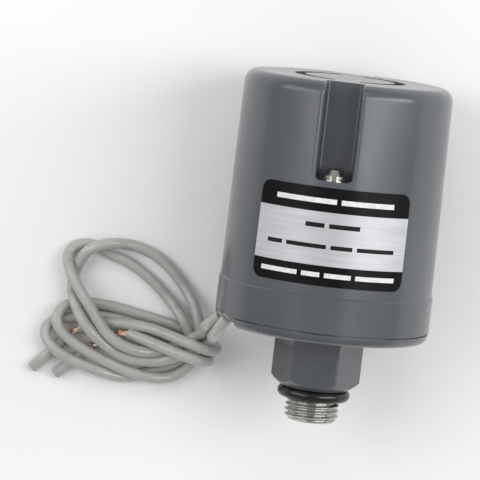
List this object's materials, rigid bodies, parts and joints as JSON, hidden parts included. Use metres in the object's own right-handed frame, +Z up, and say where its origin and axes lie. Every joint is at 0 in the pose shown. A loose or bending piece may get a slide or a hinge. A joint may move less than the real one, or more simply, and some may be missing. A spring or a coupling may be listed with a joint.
{
  "type": "pressure switch",
  "caption": "Cylindrical pressure switch with a grey screw-on cover, a threaded hex base with sealing ring, an adjustable spring mechanism inside and loose grey leads.",
  "frame": {"origin": "centre of the footprint of the switch lying on its side, on the resting surface", "axes": "+Y along the switch from the threaded nipple to the top of the cover, +Z up from the table towards the label side"},
  "size_m": [0.1, 0.0857, 0.0523],
  "materials": {
    "housing_grey": "satin-gloss moulded",
    "base_grey": "gloss paint",
    "nickel_steel": "turned, nickel plated",
    "black_rubber": "smooth moulded",
    "label_foil": "printed foil",
    "bright_steel": "bright plated",
    "diaphragm_rubber": "matt",
    "zinc_plate": "zinc plated sheet",
    "brass": "turned",
    "black_plastic": "matt moulded",
    "red_plastic": "moulded",
    "contact_silver": "satin",
    "wire_grey": "satin PVC",
    "copper": "bare stranded",
    "spring_steel": "drawn wire"
  },
  "bodies": {
    "base": {"base_body": "base_grey", "threaded_nipple": "nickel_steel", "nipple_o_ring": "black_rubber", "wire_grommet": "black_rubber", "diaphragm": "diaphragm_rubber", "diaphragm_clamp_plate": "zinc_plate", "frame_screws": "bright_steel", "spring_frame": "zinc_plate", "lock_nut": "brass", "lever_pin": "bright_steel", "lever_pin_clips": "bright_steel", "snap_switch_case": "black_plastic", "snap_switch_lid": "black_plastic", "snap_switch_screws": "bright_steel", "common_terminal": "brass", "contact_terminal": "brass", "fixed_contact": "contact_silver", "inner_lead_a": "wire_grey", "inner_lead_b": "wire_grey", "wire_a": "wire_grey", "wire_b": "wire_grey", "wire_core_a": "copper", "wire_core_b": "copper", "wire_sleeve_a": "wire_grey", "wire_sleeve_b": "wire_grey", "wire_coil": "wire_grey"},
    "cover_body": {"cover": "housing_grey", "cover_screws": "bright_steel", "cover_label": "label_foil"},
    "piston_body": {"piston": "brass", "push_rod": "bright_steel", "range_spring": "spring_steel"},
    "lever_body": {"lever": "zinc_plate"},
    "button_body": {"snap_switch_button": "red_plastic"},
    "blade_body": {"contact_blade": "copper", "moving_contact": "contact_silver"},
    "spring_seat_body": {"upper_spring_seat": "zinc_plate"},
    "adjuster_body": {"adjusting_screw": "brass"}
  },
  "joints": [
    {"name": "cover_lift_off", "type": "slide", "parent": "base", "child": "cover_body", "axis": [0, 1, 0], "range_m": [0, 0.06]},
    {"name": "piston_travel", "type": "slide", "parent": "base", "child": "piston_body", "axis": [0, 1, 0], "range_m": [0, 0.001], "stiffness_N_per_m": 4000, "springref_m": -0.0005, "deforming": ["range_spring"]},
    {"name": "lever_turn", "type": "hinge", "parent": "base", "child": "lever_body", "pos_m": [-0.015, 0.00945, 0.02615], "axis": [0, 0, 1], "range_deg": [0, 11.1]},
    {"name": "button_travel", "type": "slide", "parent": "base", "child": "button_body", "axis": [0, -1, 0], "range_m": [0, 0.0006]},
    {"name": "blade_turn", "type": "hinge", "parent": "base", "child": "blade_body", "pos_m": [-0.0171, 0.00285, 0.03155], "axis": [-1, 0, 0], "range_deg": [0, 3.1]},
    {"name": "adjuster_travel", "type": "slide", "parent": "base", "child": "spring_seat_body", "axis": [0, 1, 0], "range_m": [-0.0015, 0.003], "deforming": ["range_spring"]},
    {"name": "adjuster_turn", "type": "hinge", "parent": "spring_seat_body", "child": "adjuster_body", "pos_m": [0, 0.02625, 0.02615], "axis": [0, 1, 0], "range_deg": [-540, 1080]}
  ],
  "couplings": [
    {"joint": "lever_turn", "follows": "piston_travel", "rad_per_m": 192},
    {"joint": "button_travel", "follows": "piston_travel", "ratio": 0.6},
    {"joint": "blade_turn", "follows": "piston_travel", "rad_per_m": 53},
    {"joint": "adjuster_turn", "follows": "adjuster_travel", "rad_per_m": 6283.2}
  ]
}
